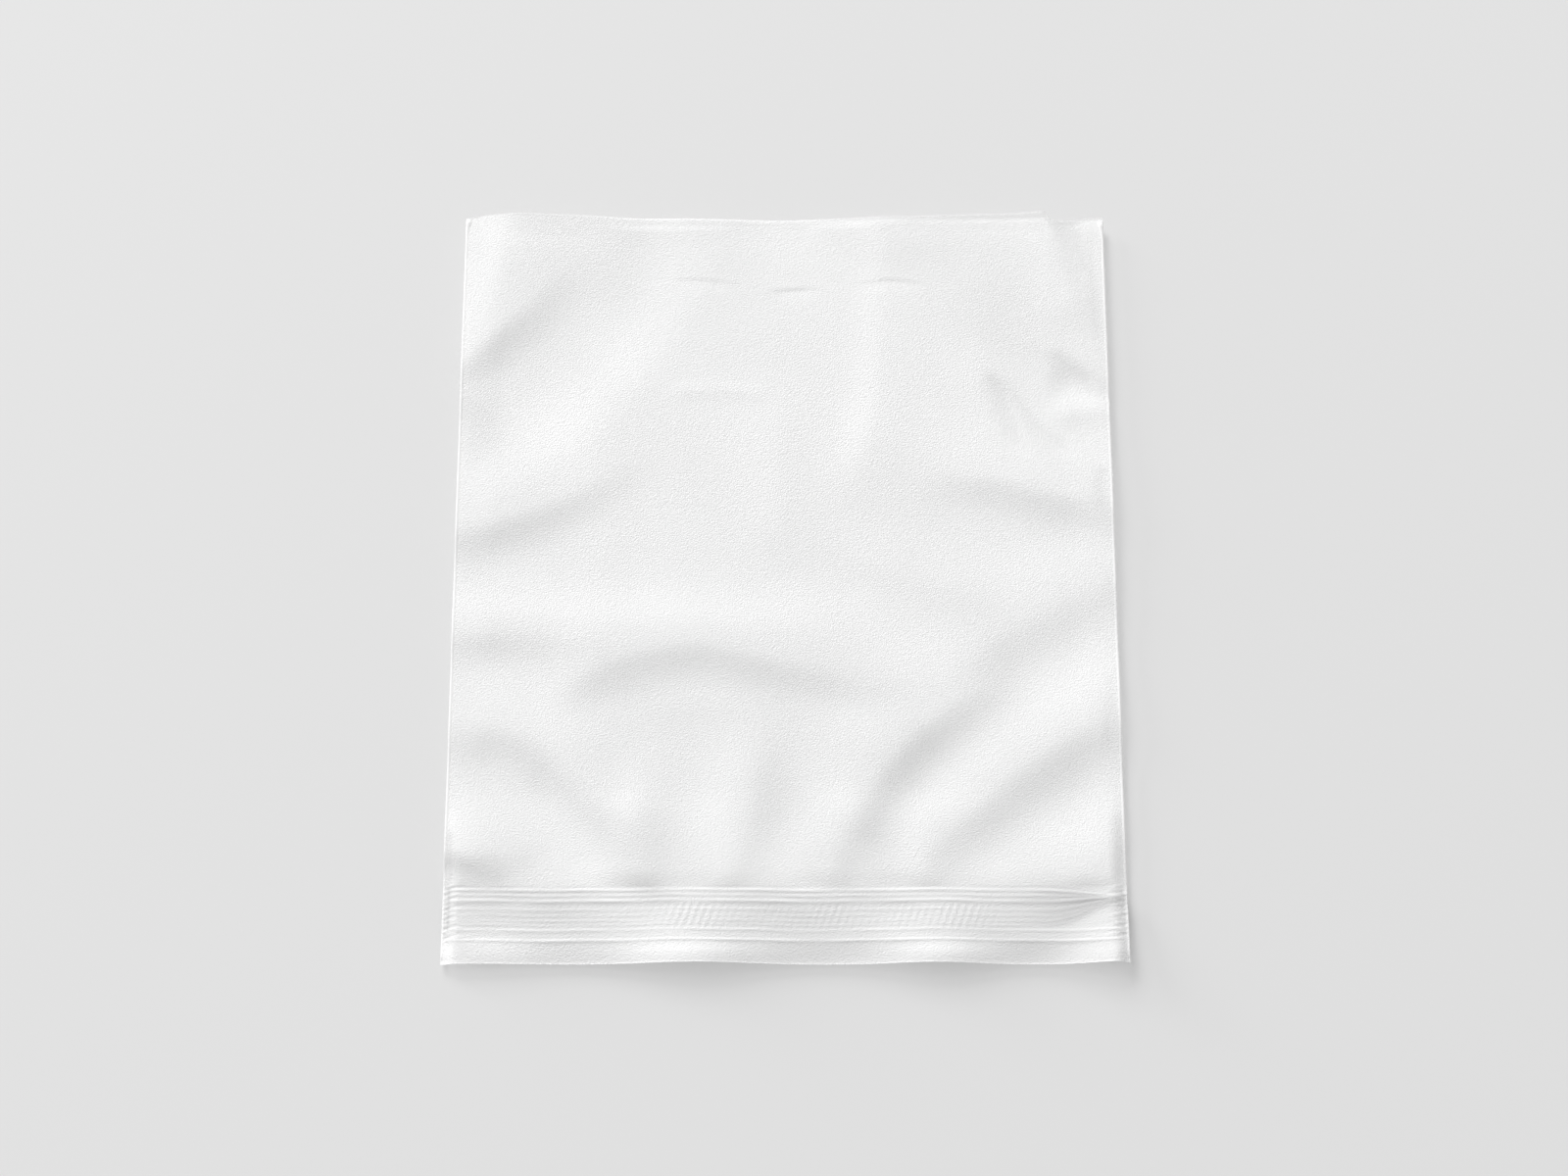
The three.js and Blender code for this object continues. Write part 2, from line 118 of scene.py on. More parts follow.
# film: one web, folded at the far end, all lengths here in millimetres
filmSpec = {
    "width": 200.0,
    "length": 240.0,
    "wall": 0.12,
    "columns": 148,
    "backRows": 42,
    "turnRows": 8,
    "bottomDepth": 1.0,
    "lipReach": 1.4,  # how far the front lip stands out
    "lipGap": 0.75,
    "zipTop": -98.2,
    "zipLow": -114.0,
    "zipGap": 1.6,
    "zipPoint": -101.3,  # where the zip's upper lines draw together at the right end
    "zipDraw": 0.85,
    "zipDrawFrom": 76.0,
    "zipStraight": -110.0,  # the lines from here to the lip stay straight
    "crush": 4.0,
    "endWrinkle": 0.05,
    "beadHeight": 0.32,
    "rest": 1.6,  # height of the slack film, and of its sides
    "edgeRest": 2.1,
    "rightLift": 0.2,
    "edgeReach": 34.0,
    "edgeRoll": 14.0,
    "mouthSettle": 32.0,
    "gather": 5.0,
    "foldScale": 0.86,
    "mouthRest": 1.1,
    "liftFall": 0.75,  # how much of the mouth's wave is gone at the top of the zip
    "liftRun": 19.0,
    # crests of the mouth: place, reach, height
    "crests": [(-96, 10, 0.5), (-26, 20, 2.4), (44, 17, 2.3), (100, 13, 3.0)],
    # where the lips stand apart: place, half width, height
    "lipOpen": [(-84, 14, 1.0), (86, 9, 0.6)],
    # air towards the bottom fold: place across, height
    "pocketFrom": -60.0,
    "pocket": [
        (-100, 1.8), (-84, 2.0), (-60, 1.9), (-40, 1.3),
        (0, 1.5), (40, 1.9), (80, 1.9), (100, 1.1),
    ],
    # the ridge on its right side, beyond which it is lower
    "ridgeAt": 82.0,
    "ridgeLean": 0.2,
    "ridgeWidth": 12.0,
    "ridgeDrop": 0.6,
    # how far the bottom fold stands out: place across, reach
    "farReach": [
        (-100, -1.0), (-92, 0.4), (-83, 0.9), (-70, 0.6), (-45, -0.5), (-5, -0.6), (33, 0.7),
        (67, 1.6), (82, 2.3), (83.5, -0.7), (90, -0.6), (97, 0.3), (100, 0.2),
    ],
    # ridges that the zip presses into the film: place, half width, height
    "zipRidges": [
        (-99.2, 0.75, 0.12),
        (-100.8, 0.75, 0.1),
        (-102.5, 0.9, 0.17),
        (-105.1, 0.75, 0.07),
        (-106.7, 0.75, 0.07),
        (-108.3, 0.75, 0.07),
        (-109.7, 0.7, 0.07),
        (-111.3, 0.8, 0.1),
        (-114.4, 0.75, 0.12),
    ],
    # where the slack film is pinched along the zip: place, half width, height
    "pinches": [
        (-93, 8, 0.3), (-42, 6, 0.5), (-16, 5, 0.35),
        (15, 4, 0.3), (42, 5, 0.35), (86, 11, 0.5),
    ],
    # painted highlights on the cut and welded edges, and a painted highlight line along the bottom
    # fold: strength, half width
    "edgeHighlight": (0.6, 0.45),
    "lipHighlight": (1.0, 0.5),
    "farHighlight": (0.38, 0.7),
    "farLineAt": 118.3,
    # painted light, speckled, at the right end of the zip
    "speckledLight": 0.5,
    # painted shade at the rim and the bend of the bottom fold: clearer film and a darker colour there
    # take down the bend's highlight
    "rimFrom": 118.8,
    "rimTo": 119.6,
    "rimShade": 0.3,
    "bendShadeClear": 0.42,
    "bendShade": 0.08,
    # painted highlights along the zip's lines: place along the bag, strength
    "zipHighlights": [
        (-114.05, 0.45), (-112.7, 0.25), (-110.9, 0.25), (-108.4, 0.15), (-106.9, 0.15),
        (-104.6, 0.15), (-102.1, 0.27), (-100.4, 0.12), (-98.8, 0.3),
    ],
    "zipHighlightHalf": 0.35,
    # thin lines of painted shade between them: place along the bag, strength, half width
    "zipShadeLines": [
        (-98.0, 0.3, 0.3),
        (-99.9, 0.2, 0.35),
        (-103.4, 0.22, 0.4),
        (-106.0, 0.1, 0.35),
        (-107.6, 0.1, 0.35),
        (-109.1, 0.1, 0.35),
        (-112.4, 0.1, 0.4),
    ],
    # painted shade on the zip band: place, half width, strength
    "zipShadePatches": [(4, 17, 0.1), (88, 13, 0.5)],
    "zipShadeBand": (-109.9, -98.4),
    # where slanting strokes cross the zip: place, half width, strength
    "strokeBand": (-111.5, -102.5),
    "strokes": [(-10, 60, 0.3), (-27, 7, 0.6), (14, 6, 0.4), (36, 7, 0.3), (51, 9, 0.6)],
    # folds: line, height, reach left and right of the line, fade at its start and end
    "folds": [
        # upper left corner
        (
            [(-130, 28), (-98, 64), (-93, 79), (-89, 94), (-85, 107), (-80, 124), (-76, 140)],
            1.5, 12, 30, 0, 0.3,
        ),
        ([(-130, 46), (-95, 75.5), (-81, 89), (-63, 111)], 2.4, 44, 9, 0, 0.5),
        ([(-130, 59), (-98, 57), (-86, 58)], 0.9, 6, 7, 0, 0.4),
        # the step up onto the flat middle
        (
            [(-220, -16), (-140, -10), (-93, 17), (-61, 40), (-40, 62), (-24, 91), (0, 150)],
            2.1, 22, 100, 0.88, 0.24,
        ),
        # left side
        ([(-130, 11), (-97, 15), (-82, 19), (-62, 28), (-36, 46)], 2.1, 30, 9, 0, 0.6),
        ([(-130, -19), (-88, -19), (-60, -20), (-42, -20)], 1.6, 17, 8, 0, 0.6),
        (
            [
                (-130, -49), (-96, -48.5), (-82, -49.5), (-68, -57),
                (-59, -67.5), (-50, -81), (-45, -97), (-43, -130),
            ],
            3.5, 20, 10, 0.5, 0,
        ),
        ([(-130, -84), (-95, -88), (-72, -99)], 2.8, 20, 7, 0, 0.5),
        # the long arch
        (
            [(-76, -41), (-62, -32), (-46, -25.5), (-25, -22.5), (-4, -27), (21, -33), (46, -38)],
            1.7, 20, 8, 0.2, 0.4,
        ),
        ([(-150, -15), (-60, -17), (-20, -19), (12, -22), (46, -29)], 0.8, 11, 26, 0, 0.35),
        ([(-72, -44), (-60, -38), (-46, -34), (-30, -33)], 0.2, 6, 5, 0.3, 0.5),
        ([(10, 4), (30, 3), (44, -2), (64, -10)], 0.45, 12, 8, 0.45, 0.45),
        # gathers that run up from the zip
        ([(-15, -130), (-12, -80), (-8, -38)], 1.7, 14, 10, 0, 0.35),
        ([(-52, -130), (-47, -95), (-42, -72), (-38, -52)], 1.1, 8, 11, 0, 0.4),
        ([(0, -130), (10, -94), (17, -85), (22, -73), (30, -60)], 2.8, 13, 11.5, 0, 0.4),
        (
            [(14, -91), (22, -73), (29, -61), (40, -49), (55, -38), (74, -29)],
            3.2, 26, 10.5, 0.45, 0.4,
        ),
        ([(8, -120), (14, -95), (20, -84)], 0.4, 6, 6, 0, 0.3),
        (
            [(18, -130), (36, -93), (46, -83), (61, -69), (76, -57), (92, -48), (130, -32)],
            3.0, 21, 11.5, 0, 0,
        ),
        ([(50, -124), (78, -94), (130, -78)], 1.1, 14, 9, 0, 0),
        # right side
        ([(66, 84), (78, 77), (87, 72), (96, 66), (112, 54)], 0.8, 44, 4.5, 0.5, 0.3),
        ([(80, 130), (84, 114), (87.5, 100), (91.5, 89), (94.5, 77)], 0.9, 6, 16, 0, 0.3),
        ([(80, 65), (90, 62), (96, 59.5), (110, 55)], -0.8, 5, 6, 0.25, 0.2),
        ([(80, 54), (88, 53), (96, 54), (112, 58)], 0.6, 5, 4.5, 0.25, 0),
        ([(34, 33), (62, 32), (84, 26), (130, 17)], 2.5, 25, 9, 0.45, 0),
        ([(44, -34), (66, -18), (84, -8), (130, 13)], 1.9, 25, 13, 0.25, 0),
        # far end and flat middle
        ([(-130, 134), (-76, 127), (-40, 124), (-4, 128)], 2.3, 10, 31, 0.35, 0.25),
        ([(34, 160), (31, 72), (27, 44), (20, 18)], 0.8, 45, 9, 0, 0.2),
        ([(-2, 70), (-3, 34), (0, -2)], 0.35, 9, 14, 0.4, 0.3),
        # fine creases
        ([(-62, 115.5), (-50, 115), (-30, 114.6), (-10, 115.5)], 0.25, 2, 5, 0.3, 0.4),
        ([(4, 116), (16, 115.6), (34, 115)], 0.22, 2, 5, 0.4, 0.4),
        ([(-36, 97.6), (-28, 97.2), (-20, 96.4), (-12, 96)], -0.15, 1.0, 3, 0.3, 0.5),
        ([(-5, 93.4), (3, 94), (12, 94.6)], -0.2, 0.9, 3, 0.25, 0.5),
        ([(18, 95.4), (25, 96.4), (32, 97.2), (38, 96.8), (45, 95.4)], -0.2, 0.9, 3, 0.5, 0.35),
        ([(-38, 60), (-20, 60.5), (-2, 59)], 0.22, 2, 3, 0.2, 0.3),
        ([(62, 67), (67, 56), (70.5, 45), (75, 36)], -0.5, 2.5, 3, 0.2, 0.3),
        ([(63, 66), (71, 57.5), (80.5, 45.5), (90, 37)], -0.4, 2.5, 2.5, 0.25, 0.2),
    ],
    # patches of painted light:
    # place across and along, half widths, strength
    "paintedLightPatches": [
        (-68, 44, 18, 18, 0.3),
        (-54, 14, 24, 13, 0.25),
        (-50, 70, 8, 14, 0.25),
        (-4, 28, 12, 26, 0.2),
        (20, 45, 34, 26, 0.3),
        (56, 68, 10, 9, 0.25),
        (15, -8, 22, 7, 0.2),
        (-24, -39, 16, 5, 0.35),
        (-54, -96, 11, 4.5, 0.4),
        (5, -97, 9, 5, 0.5),
        (36, -90, 8, 8, 0.4),
        (62, -94, 9, 5, 0.35),
        (-87, -114, 10, 3.5, 0.4),
        (-45, -117, 55, 2.6, 0.45),
        (50, -117, 14, 2.6, 0.45),
    ],
    # patches of painted shade, in the same way
    "paintedShade": [
        (14, -58, 44, 26, 0.1),
        (6, -78, 18, 9, 0.14),
        (28, -37, 24, 7, 0.1),
        (52, -11, 13, 8, 0.14),
        (82, 14, 14, 7, 0.1),
        (72, 88, 14, 18, 0.12),
        (36, 108, 18, 8, 0.12),
        (-92, 45, 7, 9, 0.16),
        (90, -98, 6, 5, 0.2),
        (34, -103, 10, 3, 0.12),
        (-38, -101, 6, 4, 0.2),
        (-68, -106, 9, 3.5, 0.12),
    ],
    # painted shade along sharp creases, the side seams and two deep gathers: line, strength, half width
    "creaseShade": [
        ([(62.5, 67), (66, 60), (69, 53), (71, 45), (74.5, 37.5)], 0.14, 1.2),
        ([(63, 66), (71, 57.5), (80.5, 45.5), (90, 37.5)], 0.12, 1.3),
        ([(64, 63), (70, 54), (76, 45), (82, 38)], 0.1, 4.0),
        ([(-36, 97.8), (-28, 97.4), (-20, 96.6), (-12, 96.2)], 0.06, 0.35),
        ([(-5, 93.6), (3, 94.2), (12, 94.8)], 0.14, 0.35),
        ([(29, 97.2), (34, 97.4), (40, 96.8), (45, 95.6)], 0.1, 0.35),
        ([(95.5, 122), (96, 95), (97, 74)], 0.16, 1.6),
        ([(81, 73), (86, 71), (90, 68), (94, 63.5)], 0.2, 2.2),
        ([(91, 121), (92, 112), (93.5, 100)], 0.12, 1.4),
        ([(97, 36), (95.5, 28), (96.5, 20)], 0.2, 2.2),
        ([(97.8, 0), (97, -6), (97.4, -12)], 0.08, 1.2),
        ([(97.5, -30), (96.5, -40), (95.5, -50), (95.5, -58)], 0.13, 1.5),
        ([(97.8, -74), (97.3, -84), (97, -98)], 0.2, 1.9),
        ([(-98.2, -97.6), (-98.3, -104), (-98.1, -112)], 0.35, 0.45),
        ([(-99, -87), (-95, -91.5), (-88, -95), (-80, -96.5)], 0.16, 2.2),
        ([(46, -48), (34, -62), (27, -74), (21, -88)], 0.15, 6.0),
        ([(-78, -62), (-66, -69), (-56, -76), (-50, -86)], 0.12, 5.0),
        ([(-98.8, -78), (-98.3, -90), (-98.5, -108), (-98.3, -118)], 0.4, 1.4),
    ],
}


def smoothStep(low, high, value):
    share = np.clip((value - low) / (high - low), 0, 1)
    return share * share * (3 - 2 * share)


def bumps(x, places):  # rounded bumps across the bag: place, half width, height
    return sum(height * np.exp(-(((x - place) / half) ** 2)) for place, half, height in places)


def patches(x, y, places):  # soft round patches: place across and along, half widths, strength
    total = 0 * x
    for across, along, wide, deep, strength in places:
        total = total + strength * np.exp(-(((x - across) / wide) ** 2) - ((y - along) / deep) ** 2)
    return total


def foldCurve(points, cuts=10):  # smooth curve through the points, cut into short runs
    ends = np.array(points, float)
    run = np.vstack([2 * ends[0] - ends[1], ends, 2 * ends[-1] - ends[-2]])
    share = np.linspace(0, 1, cuts, endpoint=False)[:, None]
    curve = []
    for a, b, c, d in zip(run, run[1:], run[2:], run[3:]):
        bend = (c - a) * share + (2 * a - 5 * b + 4 * c - d) * share**2
        bend = bend + (3 * b - a - 3 * c + d) * share**3
        curve.append(b + 0.5 * bend)
    return np.vstack(curve + [ends[-1:]])


def alongLine(x, y, line):  # distance from a line, which side of it, and the share of its run
    curve = foldCurve(line)
    runs = np.linalg.norm(np.diff(curve, axis=0), axis=1)
    nearest = np.full(x.shape, 1e9)
    side = np.zeros(x.shape)
    share = np.zeros(x.shape)
    done = 0.0
    for a, b, run in zip(curve, curve[1:], runs):
        step = b - a
        part = np.clip(((x - a[0]) * step[0] + (y - a[1]) * step[1]) / run**2, 0, 1)
        away = np.hypot(x - a[0] - part * step[0], y - a[1] - part * step[1])
        closer = away < nearest
        nearest = np.where(closer, away, nearest)
        side = np.where(closer, step[0] * (y - a[1]) - step[1] * (x - a[0]), side)
        share = np.where(closer, (done + part * run) / runs.sum(), share)
        done += run
    return nearest, side, share


def foldHeight(x, y, line, height, left, right, start, end):  # a rounded ridge along a line
    nearest, side, share = alongLine(x, y, line)
    reach = np.where(side > 0, left, right)
    fade = smoothStep(0, max(start, 1e-6), share) * smoothStep(0, max(end, 1e-6), 1 - share)
    return height * fade * np.exp(-1.4 * (nearest / reach) ** 2)


def zipPlace(place, x):  # where one of the zip's lines runs, as they draw together on the right
    spec = filmSpec
    pull = spec["zipDraw"] * smoothStep(spec["zipDrawFrom"], spec["width"] / 2, x)
    return place + (spec["zipPoint"] - place) * pull * (place > spec["zipStraight"])


def paintedShadeStrength(x, y):  # painted shade: patches, creases and the zip's lines, mixed into the colour
    total = patches(x, y, filmSpec["paintedShade"])
    for line, strength, half in filmSpec["creaseShade"]:
        nearest, _, share = alongLine(x, y, line)
        ends = smoothStep(0, 0.15, np.minimum(share, 1 - share))
        total = total + strength * np.exp(-((nearest / half) ** 2)) * ends
    # painted shade on the zip band
    low, high = (zipPlace(place, x) for place in filmSpec["zipShadeBand"])
    zipBand = smoothStep(0, 3.5, y - low + 2.5) * smoothStep(0, 3, high + 0.5 - y)
    total = total + zipBand * bumps(x, filmSpec["zipShadePatches"])
    # thin lines of painted shade along the zip
    for place, strength, half in filmSpec["zipShadeLines"]:
        uneven = 0.7 + 0.4 * np.sin(0.11 * x + place) * np.sin(0.047 * x + 2)
        uneven = uneven + 0.2 * np.sin(0.31 * x + 3 * place)
        uneven = uneven * (0.8 + 0.4 * np.exp(-(((x + 80) / 22) ** 2)))
        total = total + strength * uneven * np.exp(-(((y - zipPlace(place, x)) / half) ** 2))
    return np.clip(total, 0, 1)


def strokeStrength(x, y):  # slanting strokes that the zip's ribs show through
    low, high = filmSpec["strokeBand"]
    band = smoothStep(low, low + 1.5, y) * smoothStep(-high, -high + 1.5, -y)
    return band * np.clip(bumps(x, filmSpec["strokes"]), 0, 1)


def paintedHighlightLine(away, strength, half):
    return strength * np.exp(-((away / half) ** 2))


def paintedLightStrength(x, y):  # painted light: highlights on the edges, the zip's lines and the far line, and light patches
    spec = filmSpec
    side = np.maximum(spec["width"] / 2 - np.abs(x), 0)
    lipEdge = np.maximum(y + spec["length"] / 2 + spec["lipReach"], 0)
    total = paintedHighlightLine(side, *spec["edgeHighlight"]) + paintedHighlightLine(lipEdge, *spec["lipHighlight"])
    # painted light, speckled, where the zip ends on the right
    speckledLight = 0.5 + 0.5 * np.sin(2.9 * y + x) * np.sin(1.7 * y - 2.3 * x)
    zipEnd = (1 - smoothStep(1.5, 5, side)) * (x > 0) * smoothStep(97, 99, -y)
    total = total + spec["speckledLight"] * speckledLight * zipEnd
    for place, strength in spec["zipHighlights"]:
        # the painted highlights are stronger on the mouth's crests and at the left
        uneven = 0.35 + 0.25 * bumps(x, spec["crests"])
        uneven = uneven + 0.2 * np.sin(0.21 * x + place) * np.sin(0.083 * x - 1.1)
        uneven = uneven + 0.5 * np.exp(-(((x + 82) / 18) ** 2))
        line = paintedHighlightLine(y - zipPlace(place, x), strength, spec["zipHighlightHalf"])
        total = total + np.clip(uneven, 0, 1) * line
    # a painted highlight line along the bottom fold
    run = smoothStep(-72, -40, x) * (1 - smoothStep(80, 84, x))
    uneven = 0.7 + 0.3 * np.sin(0.13 * x) * np.sin(0.31 * x + 1)
    total = total + run * uneven * paintedHighlightLine(y - spec["farLineAt"], *spec["farHighlight"])
    return np.clip(total + patches(x, y, spec["paintedLightPatches"]), 0, 1)


def mouthLift(x, y):  # the wave of the mouth, highest at the lip
    spec = filmSpec
    share = np.clip((y - spec["zipLow"] + 3) / spec["liftRun"], 0, 1)
    return spec["mouthRest"] + bumps(x, spec["crests"]) * (1 - spec["liftFall"] * share)


def softRun(x, points):  # smooth line through points across the bag
    height = points[0][1] + 0 * x
    for (a, low), (b, high) in zip(points, points[1:]):
        height = height + (high - low) * smoothStep(a, b, x)
    return height


def pocketHeight(x, y):  # air towards the bottom fold, lower beyond a ridge on the right
    spec = filmSpec
    far = spec["length"] / 2
    rise = np.clip((y - spec["pocketFrom"]) / (far - spec["pocketFrom"]), 0, 1)
    beyond = smoothStep(0, spec["ridgeWidth"], x - spec["ridgeAt"] - spec["ridgeLean"] * (far - y))
    return softRun(x, spec["pocket"]) * rise * (1 - spec["ridgeDrop"] * beyond)


def zipRelief(x, y):  # fine ridges along the zip, a little uneven
    height = 0 * y
    wander = 0.14 * np.sin(0.09 * x + 1) + 0.09 * np.sin(0.24 * x)
    for place, half, top in filmSpec["zipRidges"]:
        off = np.clip(np.abs(y + wander - zipPlace(place, x)) / half, 0, 1)
        uneven = 0.75 + 0.25 * np.sin(0.13 * x + 2 * place) + 0.2 * np.sin(0.37 * x - place)
        height = height + top * uneven * (0.5 + 0.5 * np.cos(math.pi * off))
    return height


def endWrinkle(x, y):  # the pinched ends of the zip
    spec = filmSpec
    side = np.maximum(spec["width"] / 2 - np.abs(x), 0)
    low, top = spec["zipLow"], spec["zipTop"]
    band = smoothStep(low - 2, low + 1, y) * smoothStep(-top - 3, -top, -y)
    wave = np.sin(1.5 * x + 3.1 * y) + np.sin(2.3 * y - 0.9 * x + 1) + np.sin(1.1 * x - 4.3 * y + 2)
    end = smoothStep(0, 0.8, side) * (1 - smoothStep(2.5, 8, side))
    return spec["endWrinkle"] * wave * band * end


def frontHeight(x, y):  # the mouth's shape near the zip, and slack film with folds beyond it
    spec = filmSpec
    top = spec["zipTop"]
    side = np.maximum(spec["width"] / 2 - np.abs(x), 0)
    near = smoothStep(top, top + spec["mouthSettle"], y)
    # folds die away towards the zip, over a shorter way in the left corner
    settle = spec["gather"] * (5 - 3 * smoothStep(58, 80, -x))
    gathered = 0.15 * smoothStep(0, spec["gather"], y - top)
    gathered = gathered + 0.85 * smoothStep(0, 1, (y - top) / settle)
    inside = 0.6 + 0.4 * smoothStep(0, spec["edgeRoll"], side)
    folded = sum(foldHeight(x, y, *fold) for fold in spec["folds"])
    folded = spec["foldScale"] * folded * gathered * inside
    crushed = smoothStep(0, spec["crush"], side)
    lip = smoothStep(-spec["length"] / 2, spec["zipLow"], y)
    lipGap = spec["lipGap"] + 0.6 * bumps(x, spec["crests"]) + bumps(x, spec["lipOpen"])
    mouthGap = lipGap + (spec["zipGap"] - lipGap) * lip
    mouth = mouthLift(x, y) + spec["beadHeight"] + crushed * (mouthGap + zipRelief(x, y))
    mouth = mouth + endWrinkle(x, y)
    edge = spec["edgeRest"] + spec["rightLift"] * smoothStep(-20, 20, x)
    slack = edge + (spec["rest"] - edge) * smoothStep(0, spec["edgeReach"], side)
    pinchBand = smoothStep(top - 1, top + 2.5, y) * smoothStep(-top - 20, -top - 2.5, -y)
    pinched = bumps(x, spec["pinches"]) * pinchBand * crushed
    return mouth * (1 - near) + (slack + pocketHeight(x, y)) * near + folded + pinched


def edgeHeight(side, y):  # underside of a side weld over the floor
    rows, place = np.unique(y, return_inverse=True)
    edge = np.full(rows.shape, side * filmSpec["width"] / 2)
    lift = frontHeight(edge, rows) - filmSpec["beadHeight"]
    return np.maximum(lift, 0)[place].reshape(np.shape(y))


def backHeight(x, y):  # flat on the floor beyond the mouth, and rolled up to the welds
    spec = filmSpec
    side = np.maximum(spec["width"] / 2 - np.abs(x), 0)
    near = smoothStep(spec["zipTop"], spec["zipTop"] + spec["mouthSettle"], y)
    edge = np.where(x < 0, edgeHeight(-1, y), edgeHeight(1, y))
    rolled = 1 - smoothStep(0, spec["edgeRoll"], side)
    rolled = rolled * smoothStep(spec["zipTop"], spec["zipTop"] + 6, y)
    return mouthLift(x, y) * (1 - near) * (1 - rolled) + edge * rolled


def webRows(spec):  # rows lie closer at the lip, the zip, the fine creases and the far rim
    half = spec["length"] / 2
    lipEnd = spec["zipLow"] - 1.2
    zipEnd = spec["zipTop"] + 0.8
    bend = half - spec["bottomDepth"]
    front = np.concatenate(
        [
            -half + np.array([0, 0.15, 0.4, 0.7, 1.1]),
            np.linspace(-half + 1.6, lipEnd, 10, endpoint=False),
            np.linspace(lipEnd, zipEnd, 84, endpoint=False),
            np.linspace(zipEnd, 91, 106, endpoint=False),
            np.linspace(91, 100, 24, endpoint=False),
            np.linspace(100, 114, 8, endpoint=False),
            np.linspace(114, bend, 14),
        ]
    )
    back = np.linspace(bend, -half, spec["backRows"])
    turn = np.linspace(0, math.pi, spec["turnRows"] + 2)[1:-1]
    return front, turn, back


def webColumns(spec):
    half = spec["width"] / 2
    edge = np.array([0, 0.25, 0.6, 1.1, 1.8, 2.7])
    inner = np.linspace(-half + 4, half - 4, spec["columns"] - 2 * len(edge))
    return np.concatenate([-half + edge, inner, (half - edge)[::-1]])


def filmPlaces(spec):
    front, turn, back = webRows(spec)
    columns = webColumns(spec)
    bend = front[-1]
    x, y = np.meshgrid(columns, front)
    floorSide = backHeight(x, y)
    z = np.maximum(frontHeight(x, y), floorSide + spec["beadHeight"])
    rows = [np.stack([x, y, z], axis=2)]
    high = z[-1]
    low = backHeight(columns, np.full(columns.shape, bend))
    for angle in turn:
        deep = np.full(columns.shape, bend + spec["bottomDepth"] * math.sin(angle))
        rise = (high + low) / 2 + (high - low) / 2 * math.cos(angle)
        rows.append(np.stack([columns, deep, rise], axis=1)[None])
    x, y = np.meshgrid(columns, back)
    rows.append(np.stack([x, y, backHeight(x, y)], axis=2))
    places = np.concatenate(rows, axis=0)
    along = places[..., 1]
    along += softRun(places[..., 0], spec["farReach"]) * smoothStep(96, 118, along)
    lip = along[: len(front)]
    lip -= spec["lipReach"] * smoothStep(-spec["zipLow"], spec["length"] / 2, -lip)
    return places


def finishPiece(piece, material, nodeName):
    piece.data.materials.clear()
    piece.data.materials.append(material)
    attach(piece, "root")
    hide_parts(nodeName)
    bpy.ops.object.select_all(action="DESELECT")
    print(piece.name, "done,", len(piece.data.polygons), "faces")


def buildFilm(spec):
    places = filmPlaces(spec) * mm
    rows, columns = places.shape[:2]
    bpy.ops.mesh.primitive_grid_add(x_subdivisions=columns - 1, y_subdivisions=rows - 1, size=2)
    film = bpy.context.object
    film.name = "filmWeb"
    flat = np.empty(len(film.data.vertices) * 3)
    film.data.vertices.foreach_get("co", flat)
    flat = flat.reshape(-1, 3)
    column = np.rint((flat[:, 0] + 1) / 2 * (columns - 1)).astype(int)
    row = np.rint((flat[:, 1] + 1) / 2 * (rows - 1)).astype(int)
    film.data.vertices.foreach_set("co", places[row, column].ravel())
    film.data.update()
    across, along = places[row, column, 0] / mm, places[row, column, 1] / mm
    frontRows = len(webRows(spec)[0])
    front = row < frontRows
    bend = (row >= frontRows) & (row < frontRows + spec["turnRows"])
    # painted shade and painted light for the film; the rim and the bend get painted shade over their
    # highlight
    rim = smoothStep(spec["rimFrom"], spec["rimTo"], along)
    paintedShade = paintedShadeStrength(across, along) * front
    paintedLight = (paintedLightStrength(across, along) - spec["rimShade"] * rim) * front
    values = {
        "paintedShadeMark": np.where(bend, spec["bendShade"], paintedShade),
        "zipStroke": strokeStrength(across, along) * front,
        "paintedLightMark": np.where(bend, -spec["bendShadeClear"], paintedLight),
    }
    for name, value in values.items():
        film.data.attributes.new(name, "FLOAT", "POINT").data.foreach_set("value", value)
    wall = film.modifiers.new("wall", "SOLIDIFY")
    wall.thickness = spec["wall"] * mm
    wall.offset = -1
    bpy.ops.object.modifier_apply(modifier="wall")
    bpy.ops.object.shade_smooth()
    return film


def runSection(name, points, axis, start, run, steps):
    bpy.ops.mesh.primitive_circle_add(vertices=len(points), radius=1, fill_type="NGON")
    piece = bpy.context.object
    piece.name = name
    for vertex, (across, up) in zip(piece.data.vertices, points):
        vertex.co = (start, across, up) if axis == 0 else (across, start, up)
    step = (run / steps, 0, 0) if axis == 0 else (0, run / steps, 0)
    bpy.ops.object.mode_set(mode="EDIT")
    bpy.ops.mesh.select_all(action="SELECT")
    for _ in range(steps):
        bpy.ops.mesh.extrude_region_move(TRANSFORM_OT_translate={"value": step})
    bpy.ops.mesh.select_all(action="SELECT")
    bpy.ops.mesh.normals_make_consistent(inside=False)
    bpy.ops.object.mode_set(mode="OBJECT")
    return piece


# side welds: a bead of melted film along each edge
weldSpec = {
    "across": 0.42,
    "up": 0.2,
    "steps": 160,
    "sides": 12,
    "inset": 0.1,
    "short": 1.6,
    "blob": 2.6,  # the melted end at the bottom fold: length, place, swell and shift
    "blobInset": 1.5,
    "blobSwell": 1.2,
    "blobShift": 0.4,
    "clear": 0.02,
}


def movePoints(piece, change):
    flat = np.empty(len(piece.data.vertices) * 3)
    piece.data.vertices.foreach_get("co", flat)
    moved = change(*(flat.reshape(-1, 3) / mm).T)
    piece.data.vertices.foreach_set("co", (np.stack(moved, axis=1) * mm).ravel())
    piece.data.update()


